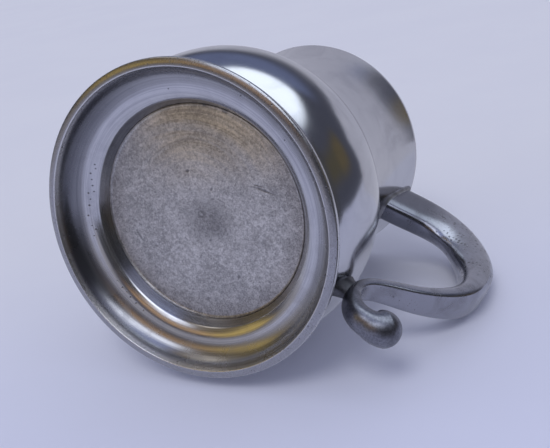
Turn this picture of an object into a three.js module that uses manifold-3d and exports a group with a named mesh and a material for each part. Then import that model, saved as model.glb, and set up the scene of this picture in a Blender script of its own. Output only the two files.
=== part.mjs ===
// A bellied pewter mug: five turned castings, the handle among them, held together by seams of solder.
// Millimetres, +Z up, the handle on the +X side.
import * as THREE from 'three';
import { mergeVertices } from 'three/addons/utils/BufferGeometryUtils.js';
import Module from 'manifold-3d';

// Body: lip, waist and belly
const MUG_HEIGHT = 88.4;
const LIP_RADIUS = 35.2;
const LIP_HEADING = 74;
const WAIST_RADIUS = 31.2;
const WAIST_HEIGHT = 61.6;
const BELLY_RADIUS = 42.0;
const BELLY_HEIGHT = 26.0;
const BOWL_HEADING = 52;
const SHOULDER_FULLNESS = 0.435;
const WALL = 1.6;

// Foot: standing ring, outer band and the hollow underneath
const FOOT_RADIUS = 42.5;
const FOOT_EDGE_ROUND = 1.2;
const STANDING_RING_WIDTH = 1.15;
const FOOT_BAND_HEIGHT = 4.2;
const FOOT_BAND_TAPER = 0.6;
const FOOT_FLARE = 5.3;
const FOOT_NECK_HEIGHT = 8.8;
const HOLLOW_HEIGHT = 6.1;
const CHAMFER_WIDTH = 2.85;
const CHAMFER_RISE = 2.45;
const STEP_WIDTH = 1.65;
const SEAT_WIDTH = 5.1;

// Base disc, seated on the foot's spigot
const SPIGOT_HEIGHT = 2.25;
const BASE_THICKNESS = 1.7;
const BASE_EDGE_ROUND = 0.5;

// Solder and clearances
const SEAM_THICKNESS = 0.3;
const PAD_THICKNESS = 0.6;
const PAD_MARGIN = 0.8;
const SEAT_GAP = 0.3;

// Handle: places of its centre line
const ROOT_DROP = 8.0;
const CROWN_OUT = 12.3;
const CROWN_RISE = 1.8;
const SHOULDER_REACH = 62.7;
const SHOULDER_HEIGHT = 73.0;
const BEND_REACH = 68.6;
const BEND_HEIGHT = 52.8;
const ARM_REACH = 59.4;
const ARM_HEIGHT = 33.4;
const HEEL_STANDOFF = 3.2;
const HEEL_HEIGHT = 17.2;
const TOE_OUT = 7.4;
const TOE_DROP = 9.7;
const KNOB_OUT = 11.5;
const KNOB_DROP = 7.9;

// Handle: width across and depth in the plane of the loop
const ROOT_WIDTH = 13.5;
const ROOT_DEPTH = 11.8;
const CROWN_WIDTH = 12.3;
const CROWN_DEPTH = 11.2;
const SHOULDER_WIDTH = 11.8;
const SHOULDER_DEPTH = 10.6;
const BEND_WIDTH = 10.3;
const BEND_DEPTH = 7.8;
const ARM_WIDTH = 7.7;
const ARM_DEPTH = 4.7;
const HEEL_WIDTH = 5.5;
const HEEL_DEPTH = 3.6;
const TOE_WIDTH = 7.0;
const TOE_DEPTH = 5.6;
const KNOB_WIDTH = 9.4;
const KNOB_DEPTH = 9.8;
const LUG_WIDTH = 4.6;
const LUG_HEIGHT = 7.0;

// Headings in degrees: 0 points away from the axis, 90 points up
const UP = 90;
const DOWN = -90;
const LEVEL = 0;
const ROOT_HEADING = 8;
const SHOULDER_HEADING = -55;
const ARM_HEADING = -137;
const KNOB_HEADING = 52;
const BAND_TOP_HEADING = 165;
const FOOT_NECK_HEADING = 110;
const CHAMFER_TOP_HEADING = -47;
const CHAMFER_FOOT_HEADING = -30;
const HOLLOW_ROOF_HEADING = -14;
const HOLLOW_WALL_HEADING = -80;

// How far smooth spans bulge, and how square a handle section is: 2 is round
const SPAN_FULLNESS = 0.36;
const HOLLOW_FULLNESS = 0.4;
const HANDLE_FULLNESS = 0.38;
const ROUND = 2;
const SOFT = 2.7;
const STRAP = 4;

// Facets, and how near two corners are when they count as one
const TURNS = 48;
const CURVE_STEPS = 8;
const RIM_STEPS = 4;
const EDGE_STEPS = 3;
const HANDLE_STEPS = 6;
const RING_POINTS = 24;
const CAP_STEPS = 4;
const WELD_DISTANCE = 1e-4;

const wasm = await Module();
wasm.setup();

const point = (radius, height) => new THREE.Vector2(radius, height);

function towards(from, heading, length) {
  const angle = THREE.MathUtils.degToRad(heading);
  return point(from.x + length * Math.cos(angle), from.y + length * Math.sin(angle));
}

// A smooth span leaves one point along a heading in degrees and arrives at the next along another.
function span(from, leave, to, arrive, fullness = SPAN_FULLNESS) {
  const pull = from.distanceTo(to) * fullness;
  return new THREE.CubicBezierCurve(from, towards(from, leave, pull), towards(to, arrive, -pull), to);
}

const shifted = (points, offset) => points.map((p) => point(p.x + offset, p.y));

function welded(geometry) {
  geometry.deleteAttribute('normal');
  geometry.deleteAttribute('uv');
  return mergeVertices(geometry, WELD_DISTANCE);
}

// A closed outline of radii and heights, run round anticlockwise, turned about the +Z axis.
function turned(outline) {
  const geometry = new THREE.LatheGeometry([...outline, outline[0]], TURNS);
  geometry.rotateX(Math.PI / 2);
  return welded(geometry);
}

function solid(geometry) {
  const vertProperties = new Float32Array(geometry.attributes.position.array);
  const triVerts = new Uint32Array(geometry.index.array);
  return new wasm.Manifold(new wasm.Mesh({ numProp: 3, vertProperties, triVerts }));
}

function surface(manifold) {
  const { vertProperties, triVerts } = manifold.getMesh();
  const geometry = new THREE.BufferGeometry();
  geometry.setAttribute('position', new THREE.BufferAttribute(vertProperties, 3));
  geometry.setIndex(new THREE.BufferAttribute(triVerts, 1));
  return geometry;
}

// The outside of the body, from the foot joint up to the lip.
const footNeck = point(FOOT_RADIUS - FOOT_FLARE, FOOT_NECK_HEIGHT);
const bowlFoot = point(footNeck.x, footNeck.y + SEAM_THICKNESS);
const bellyTop = point(BELLY_RADIUS, BELLY_HEIGHT);
const shoulderFoot = point(BELLY_RADIUS, BELLY_HEIGHT + SEAM_THICKNESS);
const waist = point(WAIST_RADIUS, WAIST_HEIGHT);
const lip = point(LIP_RADIUS, MUG_HEIGHT - WALL / 2);
const bowlSide = span(bowlFoot, BOWL_HEADING, bellyTop, UP).getPoints(CURVE_STEPS);
const shoulderSide = span(shoulderFoot, UP, waist, UP, SHOULDER_FULLNESS).getPoints(CURVE_STEPS);
const flareSide = span(waist, UP, lip, LIP_HEADING).getPoints(CURVE_STEPS);
const neckSide = [...shoulderSide, ...flareSide.slice(1)];
const bodySide = [...bowlSide, ...neckSide];

function bodyRadius(height) {
  const above = bodySide.findIndex((p) => p.y >= height);
  const [low, high] = [bodySide[above - 1], bodySide[above]];
  return THREE.MathUtils.mapLinear(height, low.y, high.y, low.x, high.x);
}

function bodyShell(inner, outer) {
  return solid(turned([...shifted(bodySide, outer), ...shifted(bodySide, inner).reverse()]));
}

function bodyCore(offset) {
  const foot = point(0, bodySide[0].y);
  const top = point(0, bodySide.at(-1).y);
  return solid(turned([foot, ...shifted(bodySide, offset), top]));
}

// A flat ring of solder between two turned faces.
function seam(inner, outer, height) {
  const top = height + SEAM_THICKNESS;
  return turned([point(inner, height), point(outer, height), point(outer, top), point(inner, top)]);
}

function neckSection() {
  const round = WALL / 2;
  const rim = new THREE.EllipseCurve(lip.x - round, lip.y, round, round, 0, Math.PI);
  const rimPoints = rim.getPoints(RIM_STEPS).slice(1, -1);
  return turned([...neckSide, ...rimPoints, ...shifted(neckSide, -WALL).reverse()]);
}

function bellyBowl() {
  return turned([...bowlSide, ...shifted(bowlSide, -WALL).reverse()]);
}

const bowlMouth = footNeck.x - WALL;
const spigotRadius = bowlMouth - SEAT_GAP;
const baseOpening = spigotRadius - SEAT_WIDTH;
const seatHeight = FOOT_NECK_HEIGHT + SPIGOT_HEIGHT;

// The foot is followed from the standing ring out over the band, up to the spigot and down the hollow.
function footRing() {
  const round = FOOT_EDGE_ROUND;
  const ringOuter = FOOT_RADIUS - round;
  const ringInner = point(ringOuter - STANDING_RING_WIDTH, 0);
  const bandTop = point(FOOT_RADIUS - FOOT_BAND_TAPER, FOOT_BAND_HEIGHT);
  const chamferTop = point(baseOpening + STEP_WIDTH, HOLLOW_HEIGHT + CHAMFER_RISE);
  const chamferFoot = point(chamferTop.x + CHAMFER_WIDTH, HOLLOW_HEIGHT);
  const edge = new THREE.EllipseCurve(ringOuter, round, round, round, -Math.PI / 2, 0);
  const cove = span(bandTop, BAND_TOP_HEADING, footNeck, FOOT_NECK_HEADING);
  const chamfer = span(chamferTop, CHAMFER_TOP_HEADING, chamferFoot, CHAMFER_FOOT_HEADING);
  const hollow = span(chamferFoot, HOLLOW_ROOF_HEADING, ringInner, HOLLOW_WALL_HEADING, HOLLOW_FULLNESS);
  return turned([
    ...edge.getPoints(EDGE_STEPS),
    ...cove.getPoints(CURVE_STEPS),
    point(spigotRadius, FOOT_NECK_HEIGHT),
    point(spigotRadius, seatHeight),
    point(baseOpening, seatHeight),
    ...chamfer.getPoints(CURVE_STEPS).slice(0, -1),
    ...hollow.getPoints(CURVE_STEPS),
  ]);
}

function baseDisc() {
  const bottom = seatHeight + SEAM_THICKNESS;
  const top = bottom + BASE_THICKNESS;
  const radius = bodyRadius(bottom) - WALL - SEAT_GAP;
  const round = BASE_EDGE_ROUND;
  const edge = new THREE.EllipseCurve(radius - round, top - round, round, round, 0, Math.PI / 2);
  return turned([point(0, bottom), point(radius, bottom), ...edge.getPoints(EDGE_STEPS), point(0, top)]);
}

// The handle's sections, from the root over the crown and the bend to the heel, the toe and the knob.
const rootHeight = MUG_HEIGHT - ROOT_DROP;
const rootReach = bodyRadius(rootHeight);
const heelReach = bodyRadius(HEEL_HEIGHT) + HEEL_STANDOFF;
const knot = (at, heading, width, depth, back, inside) => ({ at, heading, width, depth, back, inside });
const rootAt = point(rootReach, rootHeight);
const crownAt = point(rootReach + CROWN_OUT, rootHeight + CROWN_RISE);
const shoulderAt = point(SHOULDER_REACH, SHOULDER_HEIGHT);
const bendAt = point(BEND_REACH, BEND_HEIGHT);
const armAt = point(ARM_REACH, ARM_HEIGHT);
const heelAt = point(heelReach, HEEL_HEIGHT);
const toeAt = point(heelReach + TOE_OUT, HEEL_HEIGHT - TOE_DROP);
const knobAt = point(heelReach + KNOB_OUT, HEEL_HEIGHT - KNOB_DROP);
const handleKnots = [
  knot(rootAt, ROOT_HEADING, ROOT_WIDTH, ROOT_DEPTH, SOFT, SOFT),
  knot(crownAt, LEVEL, CROWN_WIDTH, CROWN_DEPTH, SOFT, SOFT),
  knot(shoulderAt, SHOULDER_HEADING, SHOULDER_WIDTH, SHOULDER_DEPTH, SOFT, SOFT),
  knot(bendAt, DOWN, BEND_WIDTH, BEND_DEPTH, SOFT, SOFT),
  knot(armAt, ARM_HEADING, ARM_WIDTH, ARM_DEPTH, STRAP, SOFT),
  knot(heelAt, DOWN, HEEL_WIDTH, HEEL_DEPTH, STRAP, SOFT),
  knot(toeAt, LEVEL, TOE_WIDTH, TOE_DEPTH, SOFT, ROUND),
  knot(knobAt, KNOB_HEADING, KNOB_WIDTH, KNOB_DEPTH, ROUND, ROUND),
];

const rounded = (value, squareness) => Math.sign(value) * Math.abs(value) ** (2 / squareness);

// One ring of the handle: a rounded section, square to the heading of the centre line.
function handleRing({ at, heading, width, depth, back, inside }) {
  const angle = THREE.MathUtils.degToRad(heading);
  return Array.from({ length: RING_POINTS }, (_, i) => {
    const turn = (2 * Math.PI * i) / RING_POINTS;
    const squareness = Math.sin(turn) > 0 ? back : inside;
    const across = (width / 2) * rounded(Math.cos(turn), squareness);
    const out = (depth / 2) * rounded(Math.sin(turn), squareness);
    return new THREE.Vector3(at.x - out * Math.sin(angle), across, at.y + out * Math.cos(angle));
  });
}

// A closed skin over rings of equal count, with a point at each end.
function lofted(rings, start, end) {
  const count = rings[0].length;
  const vertices = [start, ...rings.flat(), end];
  const last = vertices.length - 1;
  const faces = [];
  for (let i = 0; i < count; i += 1) {
    const j = (i + 1) % count;
    faces.push(0, 1 + j, 1 + i);
    for (let k = 0; k < rings.length - 1; k += 1) {
      const [a, b] = [1 + k * count, 1 + (k + 1) * count];
      faces.push(a + i, a + j, b + i, a + j, b + j, b + i);
    }
    const tip = last - count;
    faces.push(last, tip + i, tip + j);
  }
  const geometry = new THREE.BufferGeometry().setFromPoints(vertices);
  geometry.setIndex(faces);
  return geometry;
}

const spaced = ({ x, y }) => new THREE.Vector3(x, 0, y);

function handleSections() {
  const sizes = new THREE.SplineCurve(handleKnots.map((k) => point(k.width, k.depth)));
  const squareness = new THREE.SplineCurve(handleKnots.map((k) => point(k.back, k.inside)));
  const spans = handleKnots.length - 1;
  const sections = [];
  for (let i = 0; i < spans; i += 1) {
    const [from, to] = [handleKnots[i], handleKnots[i + 1]];
    const line = span(from.at, from.heading, to.at, to.heading, HANDLE_FULLNESS);
    for (let k = 0; k < HANDLE_STEPS; k += 1) {
      const share = k / HANDLE_STEPS;
      const heading = THREE.MathUtils.radToDeg(line.getTangent(share).angle());
      const size = sizes.getPoint((i + share) / spans);
      const form = squareness.getPoint((i + share) / spans);
      const at = line.getPoint(share);
      sections.push({ at, heading, width: size.x, depth: size.y, back: form.x, inside: form.y });
    }
  }
  return [...sections, handleKnots.at(-1)];
}

// The knob's far side: rings that shrink to the tip like a half ball.
function knobCap() {
  const knob = handleKnots.at(-1);
  const length = (knob.width + knob.depth) / 4;
  return Array.from({ length: CAP_STEPS - 1 }, (_, i) => {
    const turn = ((i + 1) / CAP_STEPS) * (Math.PI / 2);
    const at = towards(knob.at, knob.heading, length * Math.sin(turn));
    return { ...knob, at, width: knob.width * Math.cos(turn), depth: knob.depth * Math.cos(turn) };
  });
}

// A short oval peg along +X from the axis side of the body out to the given reach.
function oval(width, height, reach, atHeight) {
  const peg = new THREE.CylinderGeometry(1, 1, reach, RING_POINTS);
  peg.scale(width / 2, 1, height / 2);
  peg.rotateZ(-Math.PI / 2);
  peg.translate(reach / 2, 0, atHeight);
  return solid(welded(peg));
}

const padClearance = SEAT_GAP + PAD_THICKNESS + SEAT_GAP;

function handle() {
  const root = handleKnots[0];
  const tail = { ...root, at: towards(root.at, root.heading, -ROOT_DEPTH) };
  const knob = handleKnots.at(-1);
  const tip = towards(knob.at, knob.heading, (knob.width + knob.depth) / 4);
  const rings = [tail, ...handleSections(), ...knobCap()].map(handleRing);
  const scroll = solid(lofted(rings, spaced(tail.at), spaced(tip)));
  const lug = oval(LUG_WIDTH, LUG_HEIGHT, heelReach, HEEL_HEIGHT);
  return surface(scroll.add(lug).subtract(bodyCore(padClearance)));
}

// A pad of solder that follows the body's side under the handle.
function pad(width, height, atHeight) {
  const patch = oval(width + 2 * PAD_MARGIN, height + 2 * PAD_MARGIN, BEND_REACH, atHeight);
  return surface(patch.intersect(bodyShell(SEAT_GAP, SEAT_GAP + PAD_THICKNESS)));
}

const finishes = {
  polished: { color: 0x9c9ca4, roughness: 0.28, metalness: 1 },
  worn: { color: 0x8e8c88, roughness: 0.45, metalness: 1 },
  solder: { color: 0x84858b, roughness: 0.4, metalness: 1 },
};

function piece(name, geometry, finish) {
  geometry.computeVertexNormals();
  const mesh = new THREE.Mesh(geometry, new THREE.MeshStandardMaterial(finish));
  mesh.name = name;
  return mesh;
}

const mug = new THREE.Group();
mug.add(
  piece('neck_section', neckSection(), finishes.polished),
  piece('belly_bowl', bellyBowl(), finishes.polished),
  piece('foot_ring', footRing(), finishes.polished),
  piece('base_disc', baseDisc(), finishes.worn),
  piece('handle', handle(), finishes.polished),
  piece('belly_seam_solder', seam(BELLY_RADIUS - WALL, BELLY_RADIUS, BELLY_HEIGHT), finishes.solder),
  piece('foot_seam_solder', seam(bowlMouth, footNeck.x, FOOT_NECK_HEIGHT), finishes.solder),
  piece('base_seam_solder', seam(baseOpening, spigotRadius, seatHeight), finishes.solder),
  piece('handle_root_solder', pad(ROOT_WIDTH, ROOT_DEPTH, rootHeight), finishes.solder),
  piece('handle_heel_solder', pad(LUG_WIDTH, LUG_HEIGHT, HEEL_HEIGHT), finishes.solder),
);

// The origin is under the middle of the whole mug, handle included, on the plane that it stands on.
const extent = new THREE.Box3().setFromObject(mug);
mug.position.x = -(extent.min.x + extent.max.x) / 2;

export default mug;
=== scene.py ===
"""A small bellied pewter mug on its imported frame: turned castings, a scroll handle and worn pewter."""

import functools
import math

import bpy
import numpy as np
from bpy.props import FloatProperty, FloatVectorProperty, IntProperty, PointerProperty
from mathutils import Matrix, Vector


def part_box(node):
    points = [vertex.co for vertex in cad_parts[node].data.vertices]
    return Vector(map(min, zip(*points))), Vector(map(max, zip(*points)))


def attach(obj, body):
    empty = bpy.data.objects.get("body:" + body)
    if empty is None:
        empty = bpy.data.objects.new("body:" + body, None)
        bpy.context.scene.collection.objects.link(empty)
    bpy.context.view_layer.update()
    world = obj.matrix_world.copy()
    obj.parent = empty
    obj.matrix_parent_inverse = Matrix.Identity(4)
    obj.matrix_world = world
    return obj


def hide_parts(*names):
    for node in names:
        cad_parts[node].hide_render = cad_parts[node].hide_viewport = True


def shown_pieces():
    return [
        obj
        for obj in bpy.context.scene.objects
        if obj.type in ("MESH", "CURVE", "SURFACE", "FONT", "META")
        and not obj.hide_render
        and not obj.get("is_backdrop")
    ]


bl_info = {
    "name": "Pewter Mug",
    "version": (1, 0, 0),
    "blender": (4, 5, 0),
    "location": "View3D > Sidebar > Pewter Mug",
    "description": "Builds the visible pieces of a pewter mug on its packed frame",
    "category": "Object",
}

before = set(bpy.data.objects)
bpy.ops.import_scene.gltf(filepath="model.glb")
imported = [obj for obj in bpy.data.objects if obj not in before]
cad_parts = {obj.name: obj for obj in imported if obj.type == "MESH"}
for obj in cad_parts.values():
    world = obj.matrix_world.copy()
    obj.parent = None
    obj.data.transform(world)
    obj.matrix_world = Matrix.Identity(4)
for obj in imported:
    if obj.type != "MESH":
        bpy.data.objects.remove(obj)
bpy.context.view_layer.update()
BODY = "root"

# Sizes and places read from the frame, in metres
NECK_LOW, NECK_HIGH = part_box("neck_section")
FOOT_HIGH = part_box("foot_ring")[1]
DISC_LOW, DISC_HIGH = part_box("base_disc")
BELLY_SEAM_LOW, BELLY_SEAM_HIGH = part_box("belly_seam_solder")
FOOT_SEAM_LOW, FOOT_SEAM_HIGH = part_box("foot_seam_solder")
BASE_SEAM_LOW, BASE_SEAM_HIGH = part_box("base_seam_solder")
AXIS_X = (NECK_LOW.x + NECK_HIGH.x) / 2
MUG_HEIGHT = NECK_HIGH.z
BELLY_RADIUS = NECK_HIGH.x - AXIS_X
FOOT_RADIUS = FOOT_HIGH.x - AXIS_X
FOOT_NECK_RADIUS = FOOT_SEAM_HIGH.x - AXIS_X
SPIGOT_RADIUS = BASE_SEAM_HIGH.x - AXIS_X
DISC_RADIUS = DISC_HIGH.x - AXIS_X

# Headings in degrees: 0 points away from the axis, 90 points up
UP = 90
DOWN = -90
LEVEL = 0
ROOT_HEADING = 8
SHOULDER_HEADING = -55
ARM_HEADING = -137
KNOB_HEADING = 52
RING_START = 1
CROWN_SLOPE = 24
BAND_TOP_LEAVE = 165
FOOT_NECK_ARRIVE = 110
CORNER_LEAVE = -60
CHAMFER_LEAVE = -35
CHAMFER_ARRIVE = -13
HOLLOW_LEAVE = -14
HOLLOW_ARRIVE = -80
FILLET_ARRIVE = -60

# Rings of points on each face of the base disc
DISC_RINGS = 25

# Start of the standing ring's crown, in roundings from the ring's inner edge
CROWN_START = 1.3

# Edges sharper than this stay sharp when a piece is shaded smooth
SHARP_EDGE = math.radians(40)


def length(name, default, words):
    return FloatProperty(name=name, description=words, default=default, unit="LENGTH", precision=5)


def turn(name, degrees, words):
    return FloatProperty(name=name, description=words, default=math.radians(degrees), subtype="ANGLE")


def share(name, default, words):
    return FloatProperty(name=name, description=words, default=default, min=0.0)


def colour(name, default, words):
    kind = {"size": 3, "subtype": "COLOR", "min": 0.0}
    return FloatVectorProperty(name=name, description=words, default=default, **kind)


class MugBodyProps(bpy.types.PropertyGroup):
    """Sizes of the turned body"""

    lip_radius: length("Lip radius", 0.0352, "Outer radius of the lip")
    waist_radius: length("Waist radius", 0.0312, "Outer radius of the narrowest part of the neck")
    waist_height: length("Waist height", 0.0616, "Height of the narrowest part of the neck")
    wall: length("Wall", 0.0016, "Thickness of the body's wall")
    lip_flare: turn("Lip flare", 74, "Heading of the neck's side where it reaches the lip")
    bowl_rise: turn("Bowl rise", 52, "Heading of the bowl's side where it leaves the foot")
    shoulder_fullness: share("Shoulder fullness", 0.435, "How far the shoulder's curve bulges")
    segments: IntProperty(name="Segments", description="Facets round a turned piece", default=256, min=16)


class MugFootProps(bpy.types.PropertyGroup):
    """Sizes of the foot"""

    edge_round: length("Edge round", 0.0003, "Width of the rounding of the foot's lower outer edge")
    edge_rise: length("Edge rise", 0.0014, "Height where that rounding ends")
    ring_crown: length("Ring crown", 0.00042, "Rise of the standing ring from its inner to its outer edge")
    ring_width: length("Standing ring width", 0.00205, "Width of the ring that the mug stands on")
    ring_round: length("Standing ring round", 0.0003, "Radius of the standing ring's inner edge")
    band_height: length("Band height", 0.0042, "Height of the band round the foot")
    band_taper: length("Band taper", 0.0011, "How far the band leans in at its top")
    hollow_height: length("Hollow height", 0.00605, "Height of the hollow where the step starts")
    shelf_width: length("Shelf width", 0.0010, "Width of the shelf between the hollow and the chamfer")
    shelf_rise: length("Shelf rise", 0.0002, "Rise of the shelf between the hollow and the chamfer")
    chamfer_width: length("Chamfer width", 0.0024, "Width of the rounded chamfer round the step")
    chamfer_rise: length("Chamfer rise", 0.00117, "Rise of the rounded chamfer round the step")
    corner_width: length("Corner width", 0.00053, "Width of the worn corner between the chamfer and the step")
    corner_rise: length("Corner rise", 0.00055, "Rise of the worn corner between the chamfer and the step")
    step_width: length("Step width", 0.00175, "Width of the step between the corner and the base")
    seat_width: length("Seat width", 0.00605, "Width of the seat that carries the base")
    seat_fillet: length("Seat fillet", 0.0006, "Reach of the solder in the corner of the base")
    face_drop: length("Face drop", 0.0004, "How far the base's face stands below its seat")


class MugHandleProps(bpy.types.PropertyGroup):
    """Places of the handle's centre line, measured from the mug's axis and from the table"""

    root_drop: length("Root drop", 0.0080, "Depth of the root below the lip")
    crown_out: length("Crown out", 0.0123, "Distance from the root to the crown")
    crown_rise: length("Crown rise", 0.0018, "Rise from the root to the crown")
    shoulder_reach: length("Shoulder reach", 0.0627, "Distance of the shoulder from the axis")
    shoulder_height: length("Shoulder height", 0.0730, "Height of the shoulder")
    bend_reach: length("Bend reach", 0.0686, "Distance of the outermost bend from the axis")
    bend_height: length("Bend height", 0.0528, "Height of the outermost bend")
    arm_reach: length("Arm reach", 0.0594, "Distance of the lower arm from the axis")
    arm_height: length("Arm height", 0.0334, "Height of the lower arm")
    heel_standoff: length("Heel standoff", 0.0032, "Distance of the heel from the belly")
    heel_height: length("Heel height", 0.0172, "Height of the heel")
    toe_out: length("Toe out", 0.0074, "Distance from the heel to the toe of the curl")
    toe_drop: length("Toe drop", 0.0097, "Drop from the heel to the toe of the curl")
    knob_out: length("Knob out", 0.0115, "Distance from the heel to the knob")
    knob_drop: length("Knob drop", 0.0079, "Drop from the heel to the knob")
    fullness: share("Fullness", 0.38, "How far the spans of the centre line bulge")
    root_fillet: length("Root fillet", 0.0011, "Reach of the solder round the root")
    lug_width: length("Lug width", 0.0046, "Width of the lug under the heel")
    lug_height: length("Lug height", 0.0070, "Height of the lug under the heel")
    steps: IntProperty(name="Steps", description="Sections in each span of the handle", default=28, min=4)
    points: IntProperty(name="Points", description="Points round a section of the handle", default=72, min=8)


class PewterProps(bpy.types.PropertyGroup):
    """Colours and roughness of the pewter"""

    bright: colour("Bright", (0.62, 0.62, 0.64), "Polished pewter")
    dull: colour("Dull", (0.47, 0.47, 0.50), "Pewter that has lost its polish")
    # Also used for painted shade at the handle's heel and on the solder low on the body
    dark: colour("Dark", (0.09, 0.09, 0.10), "Grime in pits and corners")
    disc: colour("Disc", (0.80, 0.785, 0.775), "Dull face of the base disc")
    # Tarnish with painted shade round the border of the base disc
    disc_border_tarnish_shade: colour("Disc dull", (0.42, 0.38, 0.36), "Tarnished border of the base disc")
    # Rubbed bright, and also a painted highlight on the standing ring's edges
    worn: colour("Worn", (0.78, 0.775, 0.77), "Edges rubbed bright")
    speckle: colour("Speckle", (0.27, 0.265, 0.28), "Dull grains of the standing ring")
    tarnish: colour("Tarnish", (0.135, 0.137, 0.155), "Grey tarnish in the hollow")
    cast: colour("Cast", (0.36, 0.365, 0.41), "Cast pewter of the handle")
    cast_dull: colour("Cast dull", (0.28, 0.28, 0.31), "Dull patches of the handle")
    # Mottled tarnish on the knob, and painted shade at the handle's root
    knob_tarnish_root_shade: colour("Handle tarnish", (0.085, 0.09, 0.115), "Blue grey tarnish at the handle's ends")
    tan: colour("Tan", (0.80, 0.67, 0.47), "Warm tarnish")
    body_rough: share("Body roughness", 0.13, "Roughness of the polished belly")
    neck_rough: share("Neck roughness", 0.12, "Roughness of the polished neck")
    foot_rough: share("Foot roughness", 0.18, "Roughness of the foot")
    disc_rough: share("Disc roughness", 0.38, "Roughness of the base disc")
    handle_rough: share("Handle roughness", 0.21, "Roughness of the handle")
    solder_rough: share("Solder roughness", 0.34, "Roughness of the solder")


class MugStageProps(bpy.types.PropertyGroup):
    """The camera, the table that the mug lies on and the room's light"""

    lens: FloatProperty(name="Lens", description="Focal length in millimetres", default=55.636)
    aim_x: length("Aim x", 0.01015, "Point that the camera looks at, from the mug's axis")
    aim_y: length("Aim y", 0.00844, "Point that the camera looks at, across the mug")
    aim_z: length("Aim z", 0.04255, "Point that the camera looks at, above the foot")
    distance: length("Distance", 0.25296, "Distance of the camera from its aim")
    azimuth: turn("Azimuth", 28.0, "Direction of the camera round the mug")
    elevation: turn("Elevation", -58.492, "Height of the camera seen from the mug")
    roll: turn("Roll", -55.634, "Lean of the camera")
    table_azimuth: turn("Table azimuth", 59.95, "Direction of the table from the mug's axis")
    table_elevation: turn("Table elevation", 6.26, "Tilt of the table's direction")
    table: colour("Table, near", (0.70, 0.72, 0.86), "Paint of the table at its near side")
    table_far: colour("Table, far", (0.735, 0.74, 0.785), "Paint of the table at its far side")
    backdrop: colour("Backdrop", (0.565, 0.59, 0.73), "Pale surroundings that the camera sees")
    ambient: colour("Ambient", (0.565, 0.59, 0.73), "Plain light that falls on the table")
    sun_azimuth: turn("Sun azimuth", -20, "Direction of the soft sun from the camera's side")
    sun_elevation: turn("Sun elevation", 57, "Height of the soft sun over the table")
    sun_size: turn("Sun size", 24, "Width of the soft sun")
    sun_strength: share("Sun strength", 0.72, "Light of the soft sun on the table")


# Outlines: points are radius and height


def towards(start, heading, distance):
    """The point at a distance from start along a heading in degrees."""
    angle = math.radians(heading)
    return start[0] + distance * math.cos(angle), start[1] + distance * math.sin(angle)


def span(start, leave, end, arrive, fullness=0.36, steps=32):
    """A smooth curve that leaves one point along a heading and arrives at the next along another."""
    pull = math.dist(start, end) * fullness
    a, d = np.array(start), np.array(end)
    b = np.array(towards(start, leave, pull))
    c = np.array(towards(end, arrive, -pull))
    t = np.linspace(0, 1, steps + 1)[:, None]
    return (1 - t) ** 3 * a + 3 * t * (1 - t) ** 2 * b + 3 * t * t * (1 - t) * c + t**3 * d


def arc(centre, radius, first, last, steps=10):
    """Points of a circle's arc between two angles in degrees."""
    a = np.radians(np.linspace(first, last, steps + 1))[:, None]
    return np.array(centre) + radius * np.hstack([np.cos(a), np.sin(a)])


def shifted(outline, distance):
    return outline + np.array([distance, 0.0])


def block(inner, outer, low, high):
    """A square outline between two radii and two heights."""
    return [(outer, low), (outer, high), (inner, high), (inner, low)]


def bowl_side():
    """The outside of the bowl, from the foot joint up to the widest circle."""
    body = bpy.context.scene.mug_body
    foot = (FOOT_NECK_RADIUS, FOOT_SEAM_HIGH.z)
    belly = (BELLY_RADIUS, BELLY_SEAM_LOW.z)
    return span(foot, math.degrees(body.bowl_rise), belly, UP)


def neck_side():
    """The outside of the neck, from the widest circle over the waist to the lip."""
    body = bpy.context.scene.mug_body
    belly = (BELLY_RADIUS, BELLY_SEAM_HIGH.z)
    waist = (body.waist_radius, body.waist_height)
    lip = (body.lip_radius, MUG_HEIGHT - body.wall / 2)
    shoulder = span(belly, UP, waist, UP, body.shoulder_fullness, 64)
    flare = span(waist, UP, lip, math.degrees(body.lip_flare), steps=48)
    return np.vstack([shoulder, flare[1:]])


def body_side():
    """The outside of the whole body, from the foot joint to the lip."""
    return np.vstack([bowl_side(), neck_side()])


def body_radius(height):
    """The body's outer radius at a height."""
    side = body_side()
    return float(np.interp(height, side[:, 1], side[:, 0]))


# Meshes


def mesh_piece(name, vertices, faces, material, slot, *nodes):
    """A smooth mesh that rides on the mug, stands for CAD nodes and takes its material. The slot argument is
    not used.
    """
    mesh = bpy.data.meshes.new(name)
    mesh.from_pydata([tuple(v) for v in vertices], [], faces)
    mesh.validate()
    mesh.shade_smooth()
    mesh.set_sharp_from_angle(angle=SHARP_EDGE)
    mesh.materials.append(material)
    piece = bpy.data.objects.new(name, mesh)
    bpy.context.scene.collection.objects.link(piece)
    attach(piece, BODY)
    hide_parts(*nodes)
    return piece


def turned_piece(name, outline, material, slot, *nodes):
    """A closed outline turned round the mug's axis. The outline runs anticlockwise."""
    count = bpy.context.scene.mug_body.segments
    vertices = []
    rows = []
    for radius, height in np.array(outline, float):
        first = len(vertices)
        if radius == 0:
            vertices.append((AXIS_X, 0.0, height))
            rows.append([first] * count)
            continue
        for k in range(count):
            angle = 2 * math.pi * k / count
            vertices.append((AXIS_X + radius * math.cos(angle), radius * math.sin(angle), height))
        rows.append(list(range(first, first + count)))
    faces = []
    for low, high in zip(rows, rows[1:] + rows[:1]):
        for k in range(count):
            j = (k + 1) % count
            face = list(dict.fromkeys([low[k], low[j], high[j], high[k]]))
            if len(face) > 2:
                faces.append(face)
    return mesh_piece(name, vertices, faces, material, slot, *nodes)


def wrapped(rows, closed=False):
    """Faces between neighbouring rings of equal count, and from the last ring to the first if closed."""
    count = len(rows[0])
    total = len(rows)
    faces = []
    for k in range(total if closed else total - 1):
        a = k * count
        b = (k + 1) % total * count
        for i in range(count):
            j = (i + 1) % count
            faces.append((a + i, a + j, b + j, b + i))
    return faces


# Handle


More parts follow.
